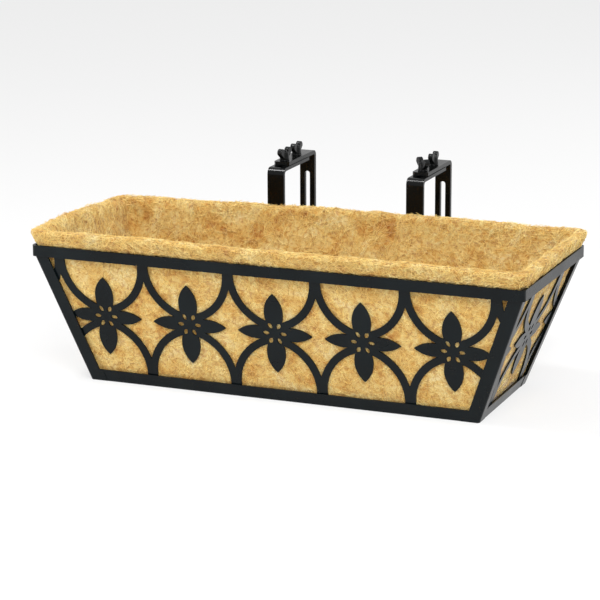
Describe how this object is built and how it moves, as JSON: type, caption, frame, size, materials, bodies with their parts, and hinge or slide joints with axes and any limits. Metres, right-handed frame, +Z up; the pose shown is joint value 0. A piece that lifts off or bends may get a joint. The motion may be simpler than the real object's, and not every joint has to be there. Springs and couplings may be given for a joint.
{
  "type": "window box planter",
  "caption": "Flared steel window box with a cut-out flower lattice, a lift-out coir liner and adjustable railing brackets held by wing nuts.",
  "frame": {"origin": "middle of the footprint, on the floor plane, at the underside of the middle floor bar", "axes": "+X along the length to the viewer's right, +Y back towards the railing, +Z up"},
  "size_m": [0.618, 0.353, 0.2518],
  "materials": {
    "frame_steel": "satin powder coat",
    "bracket_steel": "satin powder coat",
    "fastener_steel": "black coated",
    "coir": "matt fibre mat"
  },
  "bodies": {
    "basket": {"top_rim": "frame_steel", "corner_post_front_left": "frame_steel", "corner_post_front_right": "frame_steel", "corner_post_back_left": "frame_steel", "corner_post_back_right": "frame_steel", "base_rail_front": "frame_steel", "base_rail_back": "frame_steel", "base_rail_left": "frame_steel", "base_rail_right": "frame_steel", "floor_bar_left": "frame_steel", "back_upright_left": "frame_steel", "floor_bar_middle": "frame_steel", "back_upright_middle": "frame_steel", "floor_bar_right": "frame_steel", "back_upright_right": "frame_steel", "lattice_front": "frame_steel", "lattice_left": "frame_steel", "lattice_right": "frame_steel", "strap_left": "bracket_steel", "strap_right": "bracket_steel"},
    "liner": {"coir_liner": "coir"},
    "hook_left": {"hook_plate_left": "bracket_steel", "hook_bolt_left_front": "fastener_steel", "washer_left_front": "fastener_steel", "hook_bolt_left_rear": "fastener_steel", "washer_left_rear": "fastener_steel"},
    "hook_right": {"hook_plate_right": "bracket_steel", "hook_bolt_right_front": "fastener_steel", "washer_right_front": "fastener_steel", "hook_bolt_right_rear": "fastener_steel", "washer_right_rear": "fastener_steel"},
    "nut_left_front": {"wing_nut_left_front": "fastener_steel"},
    "nut_left_rear": {"wing_nut_left_rear": "fastener_steel"},
    "nut_right_front": {"wing_nut_right_front": "fastener_steel"},
    "nut_right_rear": {"wing_nut_right_rear": "fastener_steel"}
  },
  "joints": [
    {"name": "liner_lift", "type": "slide", "parent": "basket", "child": "liner", "axis": [0, 0, 1], "range_m": [0, 0.2]},
    {"name": "hook_left_slide", "type": "slide", "parent": "basket", "child": "hook_left", "axis": [0, 1, 0], "range_m": [-0.0145, 0.0088]},
    {"name": "hook_right_slide", "type": "slide", "parent": "basket", "child": "hook_right", "axis": [0, 1, 0], "range_m": [-0.0145, 0.0088]},
    {"name": "nut_left_front_turn", "type": "hinge", "parent": "hook_left", "child": "nut_left_front", "pos_m": [-0.091, 0.149, 0.2375], "axis": [0, 0, 1], "continuous": true},
    {"name": "nut_left_rear_turn", "type": "hinge", "parent": "hook_left", "child": "nut_left_rear", "pos_m": [-0.091, 0.188, 0.2375], "axis": [0, 0, 1], "continuous": true},
    {"name": "nut_right_front_turn", "type": "hinge", "parent": "hook_right", "child": "nut_right_front", "pos_m": [0.091, 0.149, 0.2375], "axis": [0, 0, 1], "continuous": true},
    {"name": "nut_right_rear_turn", "type": "hinge", "parent": "hook_right", "child": "nut_right_rear", "pos_m": [0.091, 0.188, 0.2375], "axis": [0, 0, 1], "continuous": true}
  ]
}
